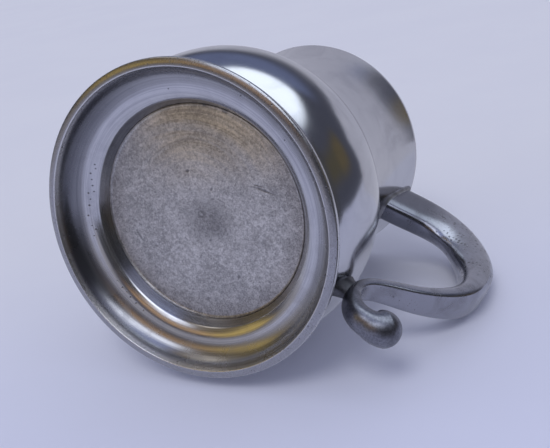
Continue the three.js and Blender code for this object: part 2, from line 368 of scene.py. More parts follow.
def handle_knots():
    """Places of the centre line: radius, height and heading."""
    h = bpy.context.scene.mug_handle
    root_z = MUG_HEIGHT - h.root_drop
    root_r = body_radius(root_z)
    heel_r = body_radius(h.heel_height) + h.heel_standoff
    return [
        (root_r, root_z, ROOT_HEADING),
        (root_r + h.crown_out, root_z + h.crown_rise, LEVEL),
        (h.shoulder_reach, h.shoulder_height, SHOULDER_HEADING),
        (h.bend_reach, h.bend_height, DOWN),
        (h.arm_reach, h.arm_height, ARM_HEADING),
        (heel_r, h.heel_height, DOWN),
        (heel_r + h.toe_out, h.heel_height - h.toe_drop, LEVEL),
        (heel_r + h.knob_out, h.heel_height - h.knob_drop, KNOB_HEADING),
    ]


# Sections of the handle: place along the knots, half width, back depth, inside depth, then how square
# the back and the inside are, where 2 is an ellipse, and how much narrower the inside is than the back
HANDLE_SECTIONS = (
    (0.0, 0.00570, 0.0064, 0.0088, 3.6, 4.4, 0.36),
    (1.0, 0.00570, 0.0062, 0.0084, 3.2, 3.6, 0.38),
    (1.5, 0.00600, 0.0058, 0.0077, 2.4, 2.6, 0.46),
    (2.0, 0.00590, 0.0055, 0.0067, 2.2, 2.3, 0.36),
    (3.0, 0.00530, 0.0039, 0.0041, 3.2, 2.4, 0.08),
    (4.0, 0.00385, 0.00235, 0.00235, 7.0, 2.6, 0.0),
    (5.0, 0.00275, 0.0018, 0.0018, 7.0, 2.6, 0.0),
    (6.0, 0.00350, 0.0026, 0.0030, 4.0, 2.2, 0.0),
    (6.6, 0.00425, 0.0032, 0.0044, 2.8, 2.0, 0.0),
    (7.0, 0.00470, 0.0049, 0.0049, 2.0, 2.0, 0.0),
)

# Place of the heel among the knots, sections at the root that the solder hides, and rings in the knob's end
HEEL_KNOT = 5
HIDDEN_SECTIONS = 3
KNOB_RINGS = 12

# How far the root and the solder sink into the wall, and how far the solder lies in under the root, in metres
ROOT_SINK = 0.0005
SOLDER_SINK = 0.0006
SOLDER_INSET = 0.0004

# The fillet's rows and how hollow it is, and the lug's rows and how much wider it is at the belly
FILLET_ROWS = 8
FILLET_HOLLOW = 0.75
LUG_ROWS = 9
LUG_FLARE = 0.45

# Rounds and share of the remaining distance in each, when points are moved onto the body
SEEK_ROUNDS = 40
SEEK_SHARE = 0.8


def section_values(places):
    """Section values at places along the knots, on smooth curves through the listed sections."""
    table = np.array(HANDLE_SECTIONS)
    slopes = np.gradient(table[:, 1:], table[:, 0], axis=0)
    k = np.clip(np.searchsorted(table[:, 0], places, "right") - 1, 0, len(table) - 2)
    gap = (table[k + 1, 0] - table[k, 0])[:, None]
    t = ((places - table[k, 0])[:, None]) / gap
    start, end = table[k, 1:], table[k + 1, 1:]
    return (
        (2 * t**3 - 3 * t**2 + 1) * start
        + (t**3 - 2 * t**2 + t) * gap * slopes[k]
        + (3 * t**2 - 2 * t**3) * end
        + (t**3 - t**2) * gap * slopes[k + 1]
    )


def handle_line():
    """Centre points, directions and section values along the handle, from the root to the knob."""
    h = bpy.context.scene.mug_handle
    knots = handle_knots()
    line = [np.array([knots[0][:2]])]
    for a, b in zip(knots, knots[1:]):
        line.append(span(a[:2], a[2], b[:2], b[2], h.fullness, h.steps)[1:])
    line = np.vstack(line)
    tangent = np.gradient(line, axis=0)
    tangent /= np.linalg.norm(tangent, axis=1)[:, None]
    return line, tangent, section_values(np.arange(len(line)) / h.steps)


def ring(centre, tangent, section, grow=0.0):
    """One closed section of the handle, or one that is larger or smaller all round."""
    half_width, back, inside, back_square, inside_square, lean = section
    count = bpy.context.scene.mug_handle.points
    a = 2 * np.pi * np.arange(count) / count
    outer = np.sin(a) > 0
    square = np.where(outer, back_square, inside_square)
    depth = np.where(outer, back, inside) + grow
    across = (half_width + grow) * np.sign(np.cos(a)) * np.abs(np.cos(a)) ** (2 / square)
    out = depth * np.sign(np.sin(a)) * np.abs(np.sin(a)) ** (2 / square)
    across *= 1 - lean * (back - out) / (back + inside)
    return np.stack([AXIS_X + centre[0] - out * tangent[1], across, centre[1] + out * tangent[0]], 1)


def onto_body(points, heading, depth=0.0):
    """Points moved along a heading until they lie on the body's outside, or a depth inside it."""
    side = body_side()
    step = np.array([heading[0], 0.0, heading[1]])
    moved = points.copy()
    for _ in range(SEEK_ROUNDS):
        reach = np.hypot(moved[:, 0] - AXIS_X, moved[:, 1])
        miss = reach - np.interp(moved[:, 2], side[:, 1], side[:, 0]) + depth
        moved -= step * (miss * SEEK_SHARE)[:, None]
    return moved


def handle_mesh():
    """Vertices and faces of the handle, closed at the root and at the knob."""
    line, tangent, sections = handle_line()
    root = onto_body(ring(line[0], tangent[0], sections[0]), tangent[0], ROOT_SINK)
    shown = slice(HIDDEN_SECTIONS, None)
    rows = [root]
    rows += [ring(c, t, s) for c, t, s in zip(line[shown], tangent[shown], sections[shown])]
    last = sections[-1]
    reach = (last[1] + last[2]) / 2
    for a in np.linspace(0, np.pi / 2, KNOB_RINGS + 2)[1:-1]:
        shrunk = np.concatenate([last[:3] * math.cos(a), last[3:]])
        rows.append(ring(line[-1] + tangent[-1] * reach * math.sin(a), tangent[-1], shrunk))
    tip = line[-1] + tangent[-1] * reach
    count = len(root)
    vertices = np.vstack(rows + [np.array([[AXIS_X + tip[0], 0.0, tip[1]]])])
    faces = wrapped(rows)
    faces.append(tuple(reversed(range(count))))
    end = len(vertices) - 1
    base = end - count
    faces += [(base + i, base + (i + 1) % count, end) for i in range(count)]
    return vertices, faces


def root_fillet_mesh():
    """A fillet of solder round the handle's root."""
    line, tangent, sections = handle_line()
    reach = bpy.context.scene.mug_handle.root_fillet
    corner = onto_body(ring(line[0], tangent[0], sections[0]), tangent[0])
    skirt = onto_body(ring(line[0], tangent[0], sections[0], reach), tangent[0])
    along = np.array([tangent[0][0], 0.0, tangent[0][1]])
    top = corner + along * reach
    middle = FILLET_HOLLOW * corner + (1 - FILLET_HOLLOW) * (skirt + top) / 2
    buried = onto_body(ring(line[0], tangent[0], sections[0], -SOLDER_INSET), tangent[0], SOLDER_SINK)
    rows = [buried, skirt]
    for t in np.linspace(0, 1, FILLET_ROWS + 1)[1:]:
        rows.append((1 - t) ** 2 * skirt + 2 * t * (1 - t) * middle + t * t * top)
    return np.vstack(rows), wrapped(rows, closed=True)


def lug_mesh():
    """The soldered lug that joins the handle's heel to the belly."""
    h = bpy.context.scene.mug_handle
    heel = handle_knots()[HEEL_KNOT]
    count = h.points
    a = 2 * np.pi * np.arange(count) / count
    rows = []
    for t in np.linspace(0, 1, LUG_ROWS):
        flare = 1 + LUG_FLARE * (1 - t) ** 2
        flat = np.stack([
            np.full(count, AXIS_X + heel[0]),
            h.lug_width / 2 * flare * np.cos(a),
            heel[1] + h.lug_height / 2 * flare * np.sin(a),
        ], 1)
        on_belly = onto_body(flat, (1.0, 0.0), SOLDER_SINK)
        rows.append(on_belly * (1 - t) + flat * t)
    vertices = np.vstack(rows)
    faces = wrapped(rows)
    faces.append(tuple(reversed(range(count))))
    faces.append(tuple(range(len(vertices) - count, len(vertices))))
    return vertices, faces


# Shader nodes


class Graph:
    """Adds nodes to a node tree and links them."""

    def __init__(self, tree):
        self.tree = tree

    def add(self, kind, inputs=None, **settings):
        node = self.tree.nodes.new(kind)
        for name, value in settings.items():
            setattr(node, name, value)
        for key, value in (inputs or {}).items():
            self.feed(node.inputs[key], value)
        return node

    def feed(self, socket, value):
        if isinstance(value, bpy.types.NodeSocket):
            self.tree.links.new(value, socket)
        else:
            socket.default_value = value

    def math(self, operation, *values, clamp=False):
        inputs = dict(enumerate(values))
        return self.add("ShaderNodeMath", inputs, operation=operation, use_clamp=clamp).outputs[0]

    def times(self, first, second, clamp=False):
        return self.math("MULTIPLY", first, second, clamp=clamp)

    def plus(self, first, second, clamp=False):
        return self.math("ADD", first, second, clamp=clamp)

    def minus(self, first, second):
        return self.math("SUBTRACT", first, second)

    def most(self, first, second):
        return self.math("MAXIMUM", first, second)

    def vector(self, operation, *values):
        inputs = dict(enumerate(values))
        return self.add("ShaderNodeVectorMath", inputs, operation=operation).outputs

    def dot(self, first, second):
        return self.vector("DOT_PRODUCT", first, second)["Value"]

    def ramp(self, value, low, high, start=0.0, end=1.0):
        """A smooth step of a value from low to high."""
        inputs = {"Value": value, "From Min": low, "From Max": high, "To Min": start, "To Max": end}
        return self.add("ShaderNodeMapRange", inputs, interpolation_type="SMOOTHSTEP").outputs["Result"]

    def noise(self, vector, scale, detail=3.0, roughness=0.55, distortion=0.0):
        inputs = {
            "Vector": vector,
            "Scale": scale,
            "Detail": detail,
            "Roughness": roughness,
            "Distortion": distortion,
        }
        return self.add("ShaderNodeTexNoise", inputs).outputs[0]

    def blend(self, factor, first, second, kind="MIX"):
        inputs = {0: factor, 6: rgba(first), 7: rgba(second)}
        return self.add("ShaderNodeMix", inputs, data_type="RGBA", blend_type=kind).outputs[2]

    def spot(self, flat, right, up, lean, long, wide):
        """A soft oval mark on a flat face: a mask."""
        inputs = {
            "Vector": flat,
            "Location": (right, up, 0),
            "Rotation": (0, 0, math.radians(lean)),
            "Scale": (long, wide, 1),
        }
        away = self.add("ShaderNodeMapping", inputs, vector_type="TEXTURE").outputs[0]
        return self.ramp(self.vector("LENGTH", away)["Value"], 1.0, 0.35)

    def group(self, tree, **inputs):
        node = self.add("ShaderNodeGroup", node_tree=tree)
        for name, value in inputs.items():
            self.feed(node.inputs[name], value)
        return node.outputs


def rgba(value):
    if isinstance(value, bpy.types.NodeSocket):
        return value
    return (*value, 1.0)


def node_group(name, inputs, outputs):
    """Turns a function that fills a shader node group into one that makes the group once and gives it."""

    def keep(fill):
        @functools.wraps(fill)
        def kept_tree():
            if name not in bpy.data.node_groups:
                tree = bpy.data.node_groups.new(name, "ShaderNodeTree")
                for side, sockets in (("INPUT", inputs), ("OUTPUT", outputs)):
                    for socket in sockets:
                        kind = "NodeSocketVector" if socket == "Vector" else "NodeSocketFloat"
                        tree.interface.new_socket(name=socket, in_out=side, socket_type=kind)
                g = Graph(tree)
                fill(g, g.add("NodeGroupInput").outputs, g.add("NodeGroupOutput").inputs)
            return bpy.data.node_groups[name]

        return kept_tree

    return keep


# Directions on the mug's underside as the camera sees it lying, and two more as right and up on that face
FACE_UP = (-0.525, -0.851, 0.0)
FACE_RIGHT = (-FACE_UP[1], FACE_UP[0], 0.0)
UPPER_RIGHT = (0.7, 0.7, 0.0)
UPPER_LEFT = (-0.64, 0.77, 0.0)


@node_group("mug_place", ("Vector",), ("Radius", "Height", "Upward", "Rightward"))
def place_group(g, given, result):
    """Where a point lies on the mug: its radius, its height and its place on the underside as seen."""
    shift = g.vector("SUBTRACT", given["Vector"], (AXIS_X, 0, 0))["Vector"]
    flat = g.vector("MULTIPLY", shift, (1, 1, 0))["Vector"]
    g.feed(result["Radius"], g.vector("LENGTH", flat)["Value"])
    g.feed(result["Height"], g.add("ShaderNodeSeparateXYZ", {0: shift}).outputs["Z"])
    g.feed(result["Upward"], g.dot(shift, FACE_UP))
    g.feed(result["Rightward"], g.dot(shift, FACE_RIGHT))


@node_group("polish_lines", ("Vector", "Scale", "Wander"), ("Value",))
def lines_group(g, given, result):
    """Fine streaks that run round the axis, as polishing and turning leave them."""
    place = g.group(place_group(), Vector=given["Vector"])
    rounded = g.add("ShaderNodeCombineXYZ", {0: place["Radius"], 1: place["Height"]}).outputs[0]
    wander = {0: given["Vector"], "Scale": given["Wander"]}
    drift = g.add("ShaderNodeVectorMath", wander, operation="SCALE").outputs[0]
    point = g.vector("ADD", rounded, drift)["Vector"]
    g.feed(result["Value"], g.noise(point, given["Scale"], 4.0, 0.65))


@node_group("pits", ("Vector", "Scale", "Size", "Share"), ("Mask",))
def pits_group(g, given, result):
    """Small round pits, scattered: a mask."""
    cells = g.add("ShaderNodeTexVoronoi", {"Vector": given["Vector"], "Scale": given["Scale"]}).outputs
    chance = g.add("ShaderNodeSeparateColor", {0: cells["Color"]}).outputs[0]
    size = g.times(given["Size"], g.plus(chance, 0.35))
    hole = g.ramp(cells["Distance"], size, g.times(size, 0.45))
    chosen = g.math("LESS_THAN", chance, given["Share"])
    g.feed(result["Mask"], g.times(hole, chosen))


@node_group("smears", ("Vector", "Scale", "Low", "High"), ("Mask",))
def smears_group(g, given, result):
    """Soft cloudy patches: a mask."""
    cloud = g.noise(given["Vector"], given["Scale"], 5.0, 0.6, 0.6)
    g.feed(result["Mask"], g.ramp(cloud, given["Low"], given["High"]))


@node_group("scratches", ("Vector", "Scale", "Share"), ("Mask",))
def scratches_group(g, given, result):
    """Thin straight scratches in two directions: a mask."""
    masks = []
    for angles in ((0.4, 0.3, 0.7), (1.1, -0.5, 2.2)):
        inputs = {"Vector": given["Vector"], "Rotation": angles, "Scale": (1.0, 0.025, 0.3)}
        stretched = g.add("ShaderNodeMapping", inputs).outputs[0]
        streak = g.noise(stretched, given["Scale"], 1.0, 0.4)
        edge = g.minus(0.86, given["Share"])
        masks.append(g.ramp(streak, edge, g.plus(edge, 0.03)))
    g.feed(result["Mask"], g.most(*masks))


PATCH_INPUTS = ("Azimuth", "Elevation", "Middle", "Half", "Low", "High", "Edge", "Lean")


@node_group("room_patch", PATCH_INPUTS, ("Mask",))
def patch_group(g, given, result):
    """A soft-edged patch of the room, in degrees round the mug and over the table: a mask."""
    edge = given["Edge"]
    along = g.math("WRAP", g.minus(given["Azimuth"], given["Middle"]), 180.0, -180.0)
    away = g.math("ABSOLUTE", along)
    side = g.ramp(away, g.plus(given["Half"], edge), g.minus(given["Half"], edge))
    sill = g.plus(given["Low"], g.times(given["Lean"], g.most(along, 0.0)))
    low = g.ramp(given["Elevation"], g.minus(sill, edge), g.plus(sill, edge))
    high = g.ramp(given["Elevation"], g.plus(given["High"], edge), g.minus(given["High"], edge))
    g.feed(result["Mask"], g.times(side, g.times(low, high)))


# Materials. A fade is a pair of lengths in metres: where it starts and where it is complete.


def new_material(name):
    """An empty material with its graph and its object coordinates."""
    material = bpy.data.materials.new(name)
    material.use_nodes = True
    material.node_tree.nodes.clear()
    g = Graph(material.node_tree)
    place = g.add("ShaderNodeTexCoord").outputs["Object"]
    return material, g, place


def underside(g, where):
    """The place on the underside as seen: right and up from its middle."""
    return g.add("ShaderNodeCombineXYZ", {0: where["Rightward"], 1: where["Upward"]}).outputs[0]


def metal(g, base, roughness, height, depth):
    """The metal shader with its bumps, joined to the material's output."""
    normal = g.add("ShaderNodeBump", {"Height": height, "Strength": 1.0, "Distance": depth}).outputs[0]
    inputs = {"Base Color": base, "Metallic": 1.0, "Roughness": roughness, "Normal": normal}
    shader = g.add("ShaderNodeBsdfPrincipled", inputs)
    g.add("ShaderNodeOutputMaterial", {"Surface": shader.outputs[0]})


def kept(builder):
    """A material made once and used again by its name."""
    name = "worn_" + builder.__name__
    return bpy.data.materials.get(name) or builder(name)


# The body: height of the change from the belly's polish to the neck's, and depth of its bumps
NECK_POLISH_FADE = (0.036, 0.056)
BODY_BUMPS = 0.000012


def polished_pewter(name):
    """Old polish on the body: fine lines round the axis, faint smears and few pits."""
    look = bpy.context.scene.mug_pewter
    material, g, place = new_material(name)
    where = g.group(place_group(), Vector=place)
    lines = g.group(lines_group(), Vector=place, Scale=2600.0, Wander=0.02)["Value"]
    broad = g.group(lines_group(), Vector=place, Scale=420.0, Wander=0.03)["Value"]
    smear = g.group(smears_group(), Vector=place, Scale=90.0, Low=0.42, High=0.72)["Mask"]
    pits = g.group(pits_group(), Vector=place, Scale=420.0, Size=0.12, Share=0.10)["Mask"]
    scratch = g.group(scratches_group(), Vector=place, Scale=900.0, Share=0.12)["Mask"]
    worn = g.plus(g.times(smear, 0.45), g.times(broad, 0.35), clamp=True)
    base = g.blend(worn, look.bright, look.dull)
    base = g.blend(g.times(pits, 0.5), base, look.dark)
    rough = g.ramp(where["Height"], *NECK_POLISH_FADE, look.body_rough, look.neck_rough)
    rough = g.plus(rough, g.times(smear, 0.04))
    rough = g.plus(rough, g.times(lines, 0.03))
    height = g.minus(g.times(lines, 0.25), pits)
    height = g.minus(height, g.times(scratch, 0.25))
    metal(g, base, rough, height, BODY_BUMPS)
    return material


# Pits on the ledge under the foot: degrees from the right, radius and size
FOOT_PITS = (
    (152, 0.0328, 0.00035),
    (154, 0.0324, 0.0003),
    (157, 0.0334, 0.0004),
    (160, 0.0329, 0.0003),
    (163, 0.0326, 0.00035),
    (166, 0.0322, 0.0003),
    (167, 0.0336, 0.0004),
    (170, 0.0331, 0.0003),
    (173, 0.0335, 0.00045),
    (178, 0.0342, 0.0004),
    (183, 0.0337, 0.0003),
    (185, 0.0329, 0.0004),
    (188, 0.0339, 0.0003),
    (212, 0.0337, 0.0003),
    (216, 0.0337, 0.0004),
    (219, 0.0336, 0.0003),
    (222, 0.0338, 0.0004),
    (226, 0.0339, 0.0004),
    (231, 0.0340, 0.00035),
    (34, 0.0352, 0.0003),
    (58, 0.0366, 0.0003),
    (92, 0.0341, 0.0003),
    (336, 0.0395, 0.00035),
)


# The foot's standing ring, in height and from its inner edge, and its two edges, which are rubbed and painted
# lighter as a highlight
RING_HEIGHT_FADE = (0.0020, 0.0010)
RING_SIDE_FADE = (-0.0008, -0.0001)
RUBBED_GLINT_INNER_FADE = (0.0005, 0.0001)
RUBBED_GLINT_OUTER_FADE = (-0.0001, 0.0004)

# The hollow, from the ledge's edge, from the ring's inner edge and in height over its top
HOLLOW_INNER_FADE = (-0.0005, 0.0012)
HOLLOW_OUTER_FADE = (0.0001, -0.0006)
HOLLOW_HEIGHT_FADE = (0.001, 0.0)
LEDGE_HEIGHT_FADE = (0.0019, 0.0014)

# The hollow's tarnish: darker at its outer left, thinner at its upper right and at its lower side
DEEP_RADIUS_FADE = (0.0358, 0.0395)
DEEP_SIDE_FADE = (0.012, -0.02)
THIN_SIDE_FADE = (0.0, 0.03)
THIN_LOW_FADE = (-0.014, -0.03)

# The darkening of the step's wall: in height over the hollow, towards the upper left and in radius
WALL_HEIGHT_FADE = (0.0016, 0.0022)
WALL_SIDE_FADE = (-0.016, 0.006)
WALL_RADIUS_FADE = (0.034, 0.032)

FOOT_BUMPS = 0.00003


def foot_holes(g, where, fine_pits, over_hollow):
    """The pits of the standing ring with those on the ledge: a mask."""
    face = underside(g, where)
    ledge = g.ramp(over_hollow, *LEDGE_HEIGHT_FADE)
    holes = fine_pits
    for angle, radius, size in FOOT_PITS:
        turned = math.radians(angle)
        pit = g.spot(face, radius * math.cos(turned), radius * math.sin(turned), angle, size, size * 0.8)
        holes = g.most(holes, g.times(pit, ledge))
    return holes


def foot_tarnish(g, where, hollow, over_hollow, streaks):
    """The tarnish of the hollow, and the darkening of the step's wall towards the upper left: a mask."""
    face = underside(g, where)
    deep = g.times(g.ramp(where["Radius"], *DEEP_RADIUS_FADE), g.ramp(where["Rightward"], *DEEP_SIDE_FADE))
    tarnish = g.plus(g.times(deep, 0.4), g.plus(0.4, g.times(streaks, 0.5)))
    tarnish = g.times(tarnish, g.ramp(g.dot(face, UPPER_RIGHT), *THIN_SIDE_FADE, 1.0, 0.6))
    tarnish = g.times(tarnish, g.ramp(where["Upward"], *THIN_LOW_FADE, 1.0, 0.4))
    tarnish = g.times(hollow, tarnish, clamp=True)
    # Darker on the step's wall towards the upper left
    wall = g.ramp(over_hollow, *WALL_HEIGHT_FADE)
    wall = g.times(wall, g.ramp(g.dot(face, UPPER_LEFT), *WALL_SIDE_FADE))
    wall = g.times(wall, g.ramp(where["Radius"], *WALL_RADIUS_FADE, 0.0, 0.62))
    return g.most(tarnish, wall)


def foot_pewter(name):
    """The foot: turned lines, tarnish in the hollow and a speckled standing ring with rubbed edges that are
    painted lighter as a highlight.
    """
    look = bpy.context.scene.mug_pewter
    foot = bpy.context.scene.mug_foot
    material, g, place = new_material(name)
    where = g.group(place_group(), Vector=place)
    lines = g.group(lines_group(), Vector=place, Scale=2200.0, Wander=0.02)["Value"]
    broad = g.group(lines_group(), Vector=place, Scale=500.0, Wander=0.03)["Value"]
    smear = g.group(smears_group(), Vector=place, Scale=120.0, Low=0.4, High=0.7)["Mask"]
    fine = g.group(pits_group(), Vector=place, Scale=1300.0, Size=0.34, Share=0.5)["Mask"]
    coarse = g.group(pits_group(), Vector=place, Scale=560.0, Size=0.24, Share=0.4)["Mask"]
    outer_edge = FOOT_RADIUS - foot.edge_round
    ring_edge = outer_edge - foot.ring_width
    ledge_edge = SPIGOT_RADIUS - foot.seat_width + foot.step_width + foot.corner_width
    ledge_edge += foot.chamfer_width + foot.shelf_width
    past_ring = g.minus(where["Radius"], ring_edge)
    past_ledge = g.minus(where["Radius"], ledge_edge)
    past_outer = g.minus(where["Radius"], outer_edge)
    over_hollow = g.minus(where["Height"], foot.hollow_height)
    standing = g.times(g.ramp(where["Height"], *RING_HEIGHT_FADE), g.ramp(past_ring, *RING_SIDE_FADE))
    hollow = g.times(g.ramp(past_ledge, *HOLLOW_INNER_FADE), g.ramp(past_ring, *HOLLOW_OUTER_FADE))
    hollow = g.times(hollow, g.ramp(over_hollow, *HOLLOW_HEIGHT_FADE))
    holes = foot_holes(g, where, g.times(g.most(fine, coarse), standing), over_hollow)
    worn = g.plus(g.times(smear, 0.4), g.times(broad, 0.4), clamp=True)
    base = g.blend(worn, look.bright, look.dull)
    base = g.blend(g.ramp(lines, 0.42, 0.62, 0.0, 0.4), base, look.cast_dull)
    base = g.blend(foot_tarnish(g, where, hollow, over_hollow, broad), base, look.tarnish)
    speckle = g.ramp(g.noise(place, 4200.0, 2.0, 0.6), 0.35, 0.68, 0.15, 0.75)
    # Painted highlight on the rubbed edges of the standing ring
    inner_rub_glint = g.ramp(g.math("ABSOLUTE", past_ring), *RUBBED_GLINT_INNER_FADE)
    rubbed = g.most(inner_rub_glint, g.ramp(past_outer, *RUBBED_GLINT_OUTER_FADE))
    base = g.blend(standing, base, g.blend(speckle, look.dull, look.speckle))
    base = g.blend(g.times(standing, g.times(rubbed, 0.8)), base, look.worn)
    base = g.blend(g.times(holes, 0.85), base, look.dark)
    rough = g.plus(look.foot_rough, g.times(smear, 0.08))
    rough = g.plus(rough, g.times(standing, 0.06))
    rough = g.plus(rough, g.times(hollow, 0.06))
    height = g.minus(g.times(lines, 0.3), holes)
    metal(g, base, rough, height, FOOT_BUMPS)
    return material


# Old marks on the base: to the right and up from its middle, lean, half length and half width, and darkness
BASE_MARKS = (
    (0.0190, 0.0061, -21, 0.0038, 0.00045, 0.6),
    (0.0178, 0.0073, -14, 0.0026, 0.0003, 0.4),
    (-0.0027, 0.0118, 30, 0.0008, 0.0006, 0.7),
    (0.0038, 0.0067, 60, 0.0008, 0.0005, 0.6),
    (0.0080, -0.0174, 80, 0.0011, 0.0007, 0.5),
    (-0.0165, -0.0090, -30, 0.0007, 0.0005, 0.45),
    (-0.0028, -0.0240, 15, 0.0012, 0.0006, 0.45),
    (-0.0215, -0.0062, -62, 0.0028, 0.0005, 0.4),
    (0.0010, -0.0073, 40, 0.0006, 0.0005, 0.4),
    (0.0057, 0.0287, 0, 0.0009, 0.0006, 0.6),
    (0.0113, 0.0266, -20, 0.0012, 0.0007, 0.6),
)


# The base's dark heart, as a mark, and the small ring that the lathe left in its middle
BASE_HEART = (0.0012, -0.0018, 0, 0.0105, 0.0085)
LATHE_RING_PLACE = (-0.0006, 0.0, 0.0)
LATHE_RING_RADIUS = 0.0008
LATHE_RING_FADE = (0.0004, 0.0001)

# The base's warm side, its border darkened by tarnish and painted shade, and the tone that its grains are
# darkened by
WARM_UP_FADE = (0.004, 0.024)
WARM_SIDE_FADE = (-0.024, -0.002)
BORDER_RADIUS_FADE = (0.022, 0.0295)
BORDER_UP_FADE = (0.022, 0.004)
GRAIN_TONE = (0.40, 0.40, 0.41)

BASE_BUMPS = 0.00006


def base_flaws(g, face, pits):
    """Pits, the lathe's ring and old marks on the base: a mask."""
    away = g.vector("DISTANCE", face, LATHE_RING_PLACE)["Value"]
    lathe_ring = g.ramp(g.math("ABSOLUTE", g.minus(away, LATHE_RING_RADIUS)), *LATHE_RING_FADE)
    flaws = g.most(g.times(pits, 0.6), g.times(lathe_ring, 0.4))
    for *mark, depth in BASE_MARKS:
        flaws = g.most(flaws, g.times(g.spot(face, *mark), depth))
    return flaws


def base_pewter(name):
    """The base disc: dull and mottled, warm towards the side that lies upward, darker in the middle."""
    look = bpy.context.scene.mug_pewter
    material, g, place = new_material(name)
    where = g.group(place_group(), Vector=place)
    face = underside(g, where)
    lines = g.group(lines_group(), Vector=place, Scale=1500.0, Wander=0.05)["Value"]
    broad = g.group(lines_group(), Vector=place, Scale=260.0, Wander=0.15)["Value"]
    cloud = g.group(smears_group(), Vector=place, Scale=60.0, Low=0.35, High=0.68)["Mask"]
    pits = g.group(pits_group(), Vector=place, Scale=480.0, Size=0.2, Share=0.16)["Mask"]
    grain = g.noise(place, 2200.0, 2.0, 0.7, 1.6)
    mottle = g.noise(place, 700.0, 3.0, 0.65, 1.0)
    heart = g.times(g.spot(face, *BASE_HEART), g.plus(0.6, g.times(cloud, 0.4)))
    warm = g.times(g.ramp(where["Upward"], *WARM_UP_FADE), g.ramp(where["Rightward"], *WARM_SIDE_FADE))
    warm = g.times(warm, g.ramp(broad, 0.25, 0.6, 0.4, 1.0))
    grains = g.times(g.ramp(grain, 0.38, 0.62), g.minus(0.6, g.times(warm, 0.3)))
    turned = g.times(g.ramp(lines, 0.4, 0.62), g.times(warm, 0.35))
    tone = g.plus(g.times(cloud, 0.28), g.times(g.ramp(mottle, 0.38, 0.62), 0.36))
    tone = g.plus(g.plus(tone, grains), turned, clamp=True)
    # Border darkened by tarnish and painted shade round the disc's rim
    border = g.ramp(where["Radius"], *BORDER_RADIUS_FADE)
    border = g.times(border, g.ramp(where["Upward"], *BORDER_UP_FADE, 0.1, 0.45))
    base = g.blend(warm, look.disc, look.tan)
    base = g.blend(border, base, look.disc_border_tarnish_shade)
    base = g.blend(tone, base, g.blend(1.0, base, GRAIN_TONE, "MULTIPLY"))
    base = g.blend(g.times(heart, 0.55), base, look.dark)
    flaws = base_flaws(g, face, pits)
    base = g.blend(flaws, base, look.dark)
    rough = g.plus(look.disc_rough, g.times(g.minus(grain, 0.5), 0.25))
    height = g.plus(g.times(lines, 0.3), g.times(grain, 0.8))
    metal(g, base, rough, g.minus(height, flaws), BASE_BUMPS)
    return material


# The handle's pitted shoulder, heel darkened by dirt and painted shade, dull knob and root darkened by
# painted shade, in height and in radius
SHOULDER_HEIGHT_FADE = (0.05, 0.056)
SHOULDER_RADIUS_FADE = (0.043, 0.05)
HEEL_HEIGHT_FADE = (0.03, 0.024)
HEEL_RADIUS_FADE = (0.0465, 0.0435)
KNOB_HEIGHT_FADE = (0.0165, 0.0125)
ROOT_HEIGHT_FADE = (0.055, 0.06)
ROOT_RADIUS_FADE = (0.053, 0.043)

HANDLE_BUMPS = 0.00004


def handle_pewter(name):
    """The cast handle: soft gloss, pits on its shoulder, tarnish on its knob, dirt and painted shade at its
    heel, and painted shade at its root.
    """
    look = bpy.context.scene.mug_pewter
    material, g, place = new_material(name)
    where = g.group(place_group(), Vector=place)
    height, radius = where["Height"], where["Radius"]
    grain = g.noise(place, 1800.0, 3.0, 0.6)
    smear = g.group(smears_group(), Vector=place, Scale=150.0, Low=0.4, High=0.7)["Mask"]
    patchy = g.group(smears_group(), Vector=place, Scale=210.0, Low=0.42, High=0.6)["Mask"]
    pits = g.group(pits_group(), Vector=place, Scale=1100.0, Size=0.4, Share=0.4)["Mask"]
    deep_pits = g.group(pits_group(), Vector=place, Scale=950.0, Size=0.72, Share=0.42)["Mask"]
    shoulder = g.times(g.ramp(height, *SHOULDER_HEIGHT_FADE), g.ramp(radius, *SHOULDER_RADIUS_FADE))
    # The heel, where the handle meets the belly: dirt with painted shade
    heel = g.times(g.ramp(radius, *HEEL_RADIUS_FADE), g.ramp(height, *HEEL_HEIGHT_FADE))
    knob = g.ramp(height, *KNOB_HEIGHT_FADE)
    # Painted shade at the root, where the handle meets the neck
    root = g.times(g.ramp(radius, *ROOT_RADIUS_FADE), g.ramp(height, *ROOT_HEIGHT_FADE))
    holes = g.most(g.times(pits, patchy), g.times(deep_pits, shoulder))
    # Pits, and dirt with painted shade at the heel
    grime_and_shade = g.most(g.times(holes, 0.75), g.times(heel, 0.9))
    mottle = g.ramp(grain, 0.38, 0.62, 0.4, 0.65)
    # The knob's mottled tarnish, with painted shade at the root
    ends = g.plus(g.times(knob, mottle), g.times(root, 0.62))
    base = g.blend(smear, look.cast, look.cast_dull)
    base = g.blend(grime_and_shade, base, look.dark)
    base = g.blend(ends, base, look.knob_tarnish_root_shade)
    rough = g.plus(look.handle_rough, g.times(smear, 0.08))
    rough = g.plus(rough, g.times(knob, 0.14))
    metal(g, base, rough, g.minus(g.times(grain, 0.35), holes), HANDLE_BUMPS)
    return material


# The solder on the outside of the lower body, darkened by dirt and by painted shade round the heel's lug
GRIME_SHADE_HEIGHT_FADE = (0.045, 0.03)
GRIME_SHADE_RADIUS_FADE = (0.032, 0.036)
SOLDER_BUMPS = 0.00003


